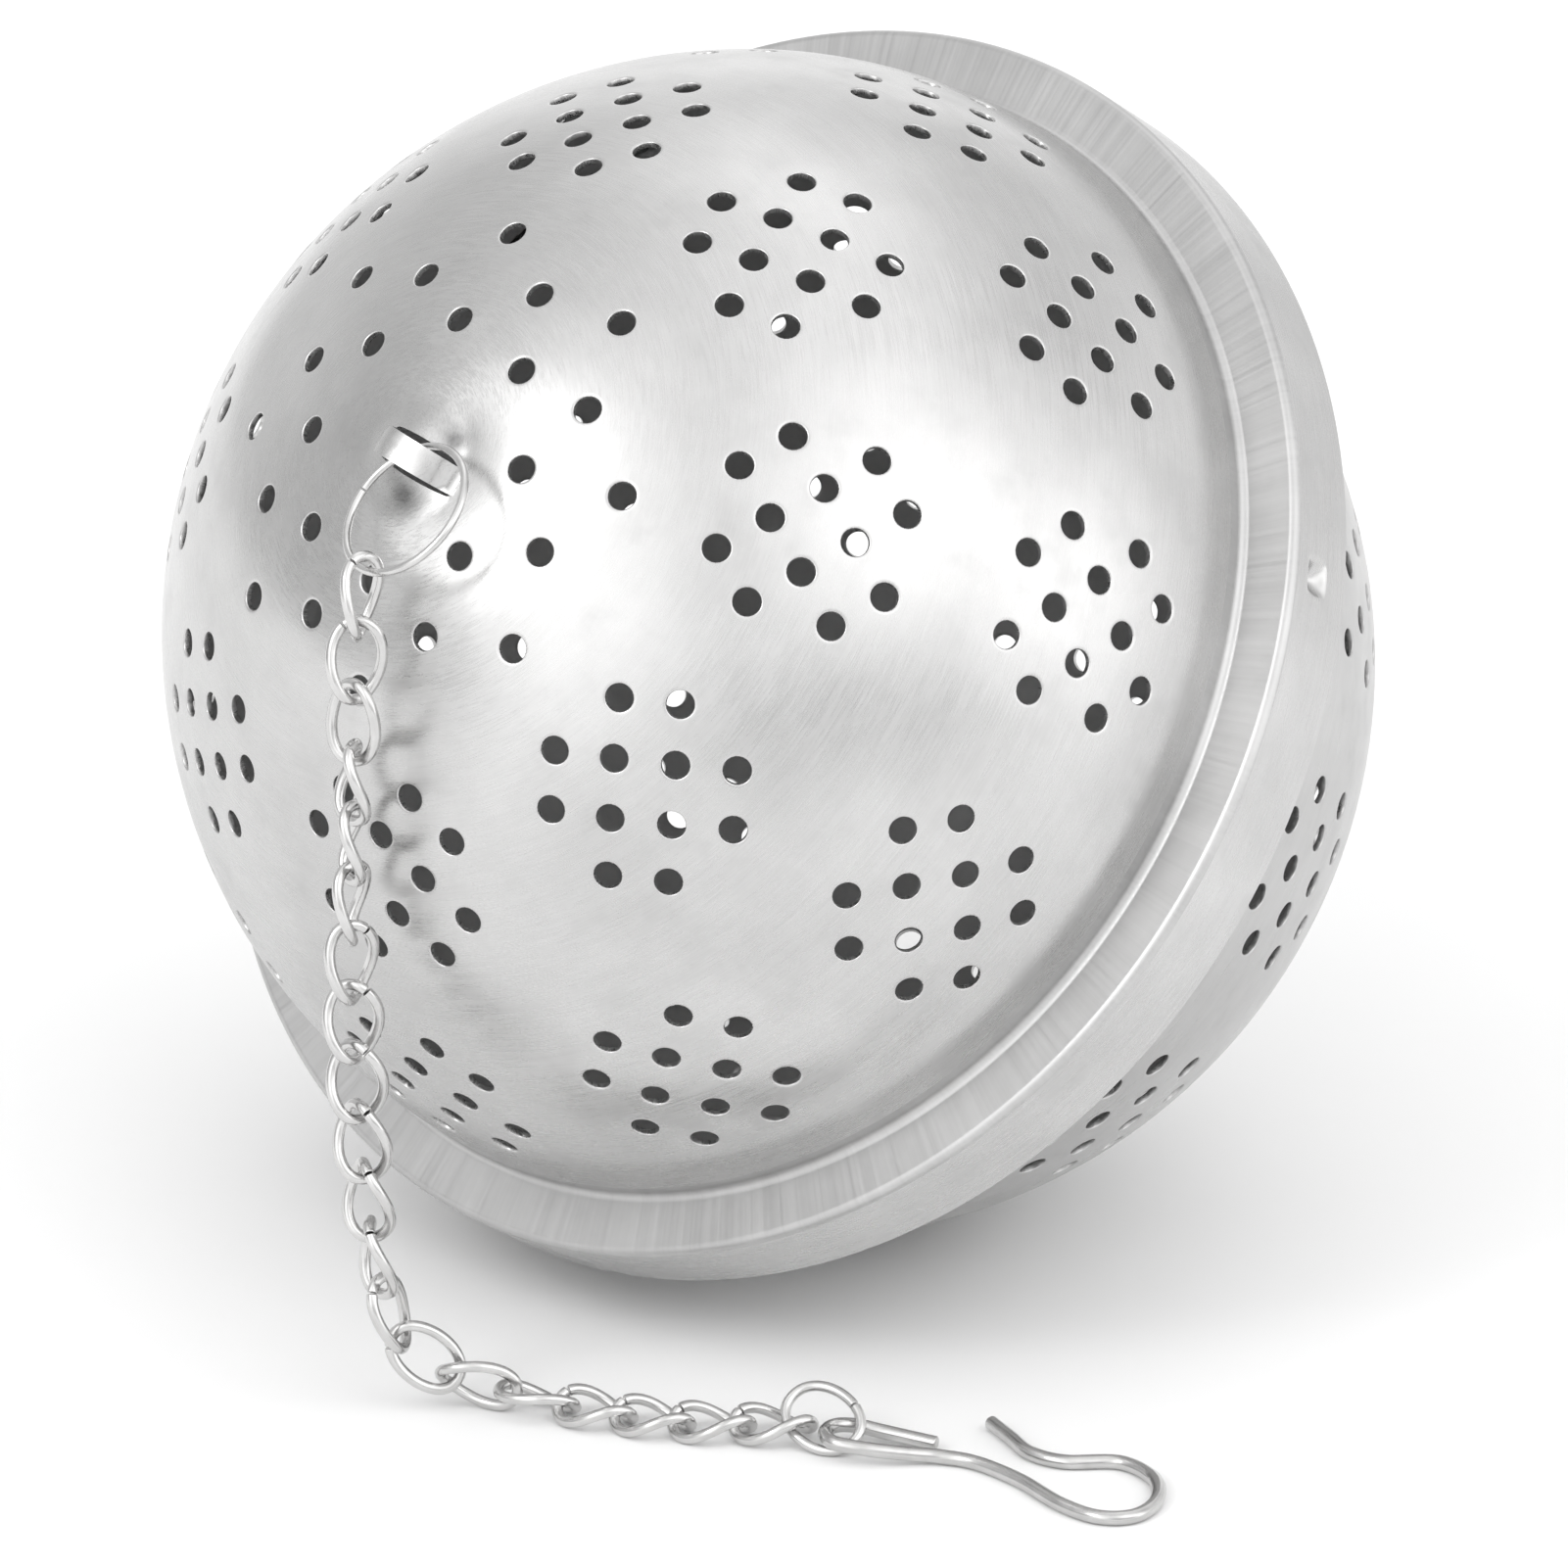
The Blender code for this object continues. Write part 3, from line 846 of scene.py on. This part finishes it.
def end_link():
    own = frame_of(shifted(END_CENTRE), END_ALONG, END_SIDE)
    oval = (END_LENGTH, END_WIDTH, 0.0, 0.0, END_LENGTH / 2.0)
    points = link_wire(*oval, END_CUT, END_GAP, END_POINTS)
    piece = wire("end_link_wire", points, END_WIRE, own, WIRE_STEEL)
    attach(piece, "end_link")
    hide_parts("end_link")


def hook():
    points = [shifted(p) for p in smooth_route(HOOK_ROUTE, 7)]
    place = Matrix.Identity(4)
    piece = wire("hook_wire", points, HOOK_WIRE, place, HOOK_STEEL, sides=16, chamfer=0.2)
    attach(piece, "hook")
    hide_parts("hook")


# ---------------------------------------------------------------- materials


class Finish:
    """A node material round one Principled shader."""

    def __init__(self, name):
        self.material = bpy.data.materials.new(name)
        self.material.use_nodes = True
        self.tree = self.material.node_tree
        self.shader = self.tree.nodes["Principled BSDF"]
        self.shader.inputs["Metallic"].default_value = 1.0

    def node(self, kind, settings=None, **inputs):
        """Adds a node and gives its first output. Its inputs are named, or numbered as _0, _1."""
        made = self.tree.nodes.new(kind)
        for key, value in (settings or {}).items():
            setattr(made, key, value)
        for key, value in inputs.items():
            socket = made.inputs[int(key[1:]) if key[0] == "_" else key]
            if hasattr(value, "links"):
                self.tree.links.new(value, socket)
            else:
                socket.default_value = value
        return made.outputs[0]

    def math(self, operation, a, b=0.0, c=0.0):
        return self.node("ShaderNodeMath", {"operation": operation}, _0=a, _1=b, _2=c)

    def spread(self, value, low, high, out_low, out_high):
        """The value carried from one range to another, held at the ends."""
        made = self.tree.nodes.new("ShaderNodeMapRange")
        self.tree.links.new(value, made.inputs["Value"])
        ends = {"From Min": low, "From Max": high, "To Min": out_low, "To Max": out_high}
        for key, number in ends.items():
            made.inputs[key].default_value = number
        return made.outputs["Result"]

    def noise(self, vector, scale, detail=2.0, roughness=0.5):
        made = self.tree.nodes.new("ShaderNodeTexNoise")
        self.tree.links.new(vector, made.inputs["Vector"])
        made.inputs["Scale"].default_value = scale
        made.inputs["Detail"].default_value = detail
        made.inputs["Roughness"].default_value = roughness
        return made.outputs["Fac"]

    def vector(self, x, y, z):
        return self.node("ShaderNodeCombineXYZ", X=x, Y=y, Z=z)

    def place(self):
        """The point in the piece's own frame, in millimetres."""
        spot = self.tree.nodes.new("ShaderNodeTexCoord").outputs["Object"]
        return self.node("ShaderNodeVectorMath", {"operation": "MULTIPLY"}, _0=spot, _1=(1.0 / MM,) * 3)

    def streaks(self, around, along, detail, roughness):
        """Noise stretched into lines, finer round the axis by around and along the sheet by along."""
        coordinates = self.tree.nodes.new("ShaderNodeTexCoord")
        parts = self.tree.nodes.new("ShaderNodeSeparateXYZ")
        self.tree.links.new(coordinates.outputs["UV"], parts.inputs[0])
        turn = self.math("MULTIPLY", parts.outputs[0], 2.0 * math.pi)
        spot = self.vector(
            self.math("MULTIPLY", self.math("COSINE", turn), around),
            self.math("MULTIPLY", self.math("SINE", turn), around),
            self.math("MULTIPLY", parts.outputs[1], along),
        )
        return self.noise(spot, 1.0, detail, roughness)

    def colour(self, grey, warmth=0.0):
        """A grey value as the shader's base colour, a little warm or cold."""
        made = self.node(
            "ShaderNodeCombineColor",
            None,
            Red=self.math("MULTIPLY", grey, 1.0 + warmth),
            Green=grey,
            Blue=self.math("MULTIPLY", grey, 1.0 - warmth),
        )
        self.tree.links.new(made, self.shader.inputs["Base Color"])

    def roughness(self, value):
        self.tree.links.new(value, self.shader.inputs["Roughness"])

    def bump(self, height, distance):
        made = self.node("ShaderNodeBump", None, Height=height, Distance=distance, Strength=1.0)
        self.tree.links.new(made, self.shader.inputs["Normal"])


def painted_slit_shade(finish, place):
    """Painted shade beside the strip's slits, standing in for the shade on the boss's far slopes, from 0
    to 1.
    """
    centre, along, across = strip_axes()
    total = 0.0
    for u, v, reach in SLIT_SHADE_SPOTS:
        spot = centre + along * u + across * v
        spot = ball_frame() @ (Vector((spot.x, spot.y, LID_RADIUS)) * MM) / MM
        away = finish.tree.nodes.new("ShaderNodeVectorMath")
        away.operation = "DISTANCE"
        finish.tree.links.new(place, away.inputs[0])
        away.inputs[1].default_value = spot
        near = finish.spread(away.outputs["Value"], 0.2 * reach, 1.5 * reach, 1.0, 0.0)
        total = finish.math("ADD", finish.math("MULTIPLY", near, near), total)
    return total


def turned_steel(name, grey, rough, anisotropy, smudge=0.06, with_slit_shade=False):
    """Sheet brushed in circles round the ball's axis."""
    finish = Finish(name)
    place = finish.place()
    fine = finish.streaks(9.0, 330.0 * math.pi, 3.0, 0.65)
    coarse = finish.streaks(4.0, 60.0 * math.pi, 3.0, 0.6)
    cloud = finish.noise(place, 0.075, 4.0, 0.55)
    stain = finish.noise(place, 0.28, 5.0, 0.6)
    shade = finish.math(
        "ADD",
        finish.spread(fine, 0.3, 0.7, -0.025, 0.025),
        finish.spread(coarse, 0.3, 0.7, -0.008, 0.008),
    )
    shade = finish.math("ADD", shade, finish.spread(cloud, 0.35, 0.65, -smudge, smudge * 0.4))
    shade = finish.math("ADD", shade, finish.spread(stain, 0.55, 0.75, 0.0, -smudge * 0.5))
    # Painted shade: the colour is darkened beside the strip's slits, where the boss's far slopes would be
    # in shade.
    if with_slit_shade:
        shade = finish.math("ADD", shade, finish.math("MULTIPLY", painted_slit_shade(finish, place), -0.38))
    finish.colour(finish.math("ADD", shade, grey), 0.004)
    wear = finish.math(
        "ADD",
        finish.spread(fine, 0.3, 0.7, -0.05, 0.05),
        finish.spread(stain, 0.4, 0.7, -0.02, 0.05),
    )
    finish.roughness(finish.math("ADD", wear, rough))
    finish.bump(finish.math("ADD", fine, finish.math("MULTIPLY", coarse, 0.3)), 0.0000006)
    finish.shader.inputs["Anisotropic"].default_value = anisotropy
    tangent = finish.node("ShaderNodeTangent", {"direction_type": "UV_MAP", "uv_map": "UVMap"})
    finish.tree.links.new(tangent, finish.shader.inputs["Tangent"])
    return finish.material


def drawn_ledge(name, grey, rough):
    """The flat round the dome, with short marks across it from the press."""
    finish = Finish(name)
    place = finish.place()
    marks = finish.streaks(130.0, 10.0 * math.pi, 4.0, 0.7)
    cloud = finish.noise(place, 0.12, 4.0, 0.6)
    shade = finish.math(
        "ADD",
        finish.spread(marks, 0.3, 0.75, -0.03, 0.035),
        finish.spread(cloud, 0.3, 0.7, -0.05, 0.03),
    )
    finish.colour(finish.math("ADD", shade, grey), 0.003)
    finish.roughness(finish.spread(marks, 0.3, 0.7, rough - 0.07, rough + 0.1))
    finish.bump(marks, 0.0000003)
    return finish.material


def inner_steel(name, grey, rough):
    """The dull, unbrushed inner face."""
    finish = Finish(name)
    place = finish.place()
    cloud = finish.noise(place, 0.15, 4.0, 0.6)
    grain = finish.noise(place, 2.5, 3.0, 0.6)
    finish.colour(finish.math("ADD", finish.spread(cloud, 0.3, 0.7, -0.04, 0.04), grey), 0.0)
    finish.roughness(finish.spread(grain, 0.3, 0.7, rough - 0.06, rough + 0.06))
    finish.bump(grain, 0.000003)
    return finish.material


def drawn_wire(name, grey, rough):
    """Bright wire with fine lines along it from the die."""
    finish = Finish(name)
    lines = finish.streaks(7.0, 3.0, 3.0, 0.6)
    cloud = finish.noise(finish.place(), 0.6, 3.0, 0.6)
    shade = finish.math(
        "ADD",
        finish.spread(lines, 0.3, 0.7, -0.05, 0.05),
        finish.spread(cloud, 0.3, 0.7, -0.06, 0.04),
    )
    finish.colour(finish.math("ADD", shade, grey), 0.006)
    finish.roughness(finish.spread(cloud, 0.3, 0.7, rough - 0.04, rough + 0.08))
    finish.bump(lines, 0.0000025)
    return finish.material


def pale_floor():
    finish = Finish("floor_paper")
    place = finish.place()
    grain = finish.noise(place, 0.02, 3.0, 0.5)
    finish.shader.inputs["Metallic"].default_value = 0.0
    finish.colour(finish.spread(grain, 0.3, 0.7, 0.90, 0.92), 0.0)
    finish.shader.inputs["Roughness"].default_value = 0.9
    finish.shader.inputs["Specular IOR Level"].default_value = 0.1
    return finish.material


LID_STEEL = [
    turned_steel("lid_brushed_steel", grey=0.60, rough=0.28, anisotropy=0.75, with_slit_shade=True),
    drawn_ledge("lid_ledge_steel", grey=0.54, rough=0.40),
    inner_steel("lid_inner_steel", grey=0.58, rough=0.5),
]
BASE_STEEL = [
    turned_steel("base_brushed_steel", grey=0.54, rough=0.32, anisotropy=0.7),
    drawn_ledge("base_ledge_steel", grey=0.52, rough=0.42),
    inner_steel("base_inner_steel", grey=0.58, rough=0.5),
]
WIRE_STEEL = drawn_wire("chain_wire_steel", grey=0.63, rough=0.17)
HOOK_STEEL = drawn_wire("hook_wire_steel", grey=0.58, rough=0.16)


# ---------------------------------------------------------------- studio


def floor():
    surface = Surface()
    rows = []
    levels = [FLOOR_HALF * (2.0 * i / FLOOR_STEPS - 1.0) / MM for i in range(FLOOR_STEPS + 1)]
    for y in levels:
        rows.append(surface.row([(x, y, 0.0) for x in levels], [(0.0, 0.0, 1.0)] * len(levels)))
    for first, second in zip(rows, rows[1:]):
        surface.band(first, second, closed=False)
    place = Matrix.Identity(4)
    piece = surface.object("studio_floor", [pale_floor()], place, lambda p: p[:, :2] * MM)


def key_light():
    data = bpy.data.lights.new("key", "AREA")
    data.shape = "RECTANGLE"
    data.size = KEY_SIZE
    data.size_y = KEY_SIZE
    data.energy = KEY_POWER
    lamp = bpy.data.objects.new("key", data)
    bpy.context.scene.collection.objects.link(lamp)
    lamp.location = KEY_PLACE
    lamp.rotation_euler = (Vector(KEY_AIM) - Vector(KEY_PLACE)).to_track_quat("-Z", "Y").to_euler()


def studio_world():
    """A pale surround with soft bright panels in it."""
    world = bpy.data.worlds.new("studio")
    world.use_nodes = True
    tree = world.node_tree

    def step(kind, operation, first, second):
        made = tree.nodes.new(kind)
        made.operation = operation
        for socket, value in zip(made.inputs, (first, second)):
            if hasattr(value, "links"):
                tree.links.new(value, socket)
            else:
                socket.default_value = value
        return made.outputs["Value"]

    way = tree.nodes.new("ShaderNodeTexCoord").outputs["Generated"]
    total = SURROUND
    for elevation, azimuth, strength in PANELS:
        centre = direction(math.radians(90.0 - elevation), math.radians(azimuth))
        near = step("ShaderNodeVectorMath", "DOT_PRODUCT", way, centre)
        short = step("ShaderNodeMath", "SUBTRACT", near, 1.0)
        fall = step("ShaderNodeMath", "MULTIPLY", short, PANEL_FOCUS)
        glow = step("ShaderNodeMath", "MULTIPLY", step("ShaderNodeMath", "EXPONENT", fall, 0.0), strength)
        total = step("ShaderNodeMath", "ADD", glow, total)
    background = tree.nodes["Background"]
    background.inputs["Color"].default_value = (1.0, 1.0, 1.0, 1.0)
    tree.links.new(total, background.inputs["Strength"])
    bpy.context.scene.world = world


def studio():
    studio_world()
    floor()
    key_light()
    bpy.context.scene.view_settings.view_transform = "Standard"


def camera():
    data = bpy.data.cameras.new("camera")
    data.sensor_width = CAMERA_SENSOR
    data.lens = CAMERA_LENS
    data.clip_start = 0.05
    data.clip_end = 20.0
    obj = bpy.data.objects.new("camera", data)
    bpy.context.scene.collection.objects.link(obj)
    obj.location = CAMERA_PLACE
    obj.rotation_euler = CAMERA_TURN
    bpy.context.scene.camera = obj


camera()
lid = lid_half()
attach(lid, "lid")
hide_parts("lid_half")
base = base_half()
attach(base, "base")
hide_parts("base_half")
jump_ring()
chain()
end_link()
hook()
studio()
